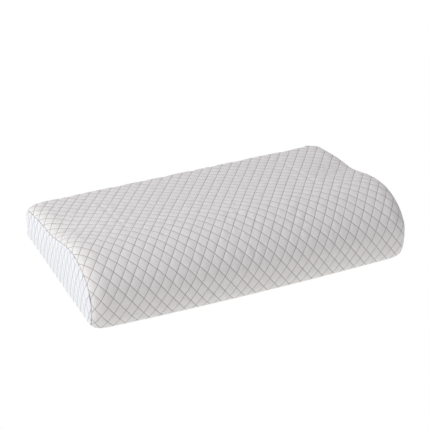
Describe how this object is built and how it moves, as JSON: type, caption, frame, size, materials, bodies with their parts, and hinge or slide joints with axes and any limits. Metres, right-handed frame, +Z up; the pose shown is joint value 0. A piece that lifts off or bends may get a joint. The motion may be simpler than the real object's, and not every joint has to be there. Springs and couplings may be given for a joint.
{
  "type": "contour bed pillow",
  "caption": "Contour foam bed pillow with a high front lobe that falls evenly to a lower rear side, in a removable zipped cover of white knit with a fine grey diamond lattice.",
  "frame": {"origin": "centre of the pillow's outline on the plane of its flat underside", "axes": "+X along the pillow's length, +Y from the high front lobe to the low rear side, +Z up"},
  "size_m": [0.6, 0.348, 0.1135],
  "materials": {
    "foam": "open-cell foam, matte",
    "liner_knit": "thin plain knit, matte",
    "cover_knit": "white stretch knit with a grey diamond lattice, matte",
    "thread": "spun sewing thread, matte",
    "zip_tape": "woven tape, matte",
    "zip_coil": "white nylon, satin",
    "zip_metal": "plated, satin",
    "label_satin": "satin ribbon, blank"
  },
  "bodies": {
    "pillow": {"foam_core": "foam", "liner_sleeve": "liner_knit", "liner_end_left": "liner_knit", "liner_end_right": "liner_knit", "cover_wrap": "cover_knit", "cover_end_left": "cover_knit", "cover_end_right": "cover_knit", "seam_left": "thread", "seam_right": "thread", "zip_tape_upper": "zip_tape", "zip_tape_lower": "zip_tape", "zip_coil_upper": "zip_coil", "zip_coil_lower": "zip_coil", "zip_stitch_upper": "thread", "zip_stitch_lower": "thread", "zip_top_stop_upper": "zip_metal", "zip_top_stop_lower": "zip_metal", "zip_bottom_stop": "zip_metal", "care_label": "label_satin"},
    "slider": {"zip_slider": "zip_metal"},
    "pull": {"zip_pull": "zip_metal"}
  },
  "joints": [
    {"name": "zip_slide", "type": "slide", "parent": "pillow", "child": "slider", "axis": [1, 0, 0], "range_m": [-0.478, 0]},
    {"name": "pull_swing", "type": "hinge", "parent": "slider", "child": "pull", "pos_m": [0.24, 0.1701, 0.03], "axis": [0, 0, -1], "range_deg": [0, 170]}
  ]
}
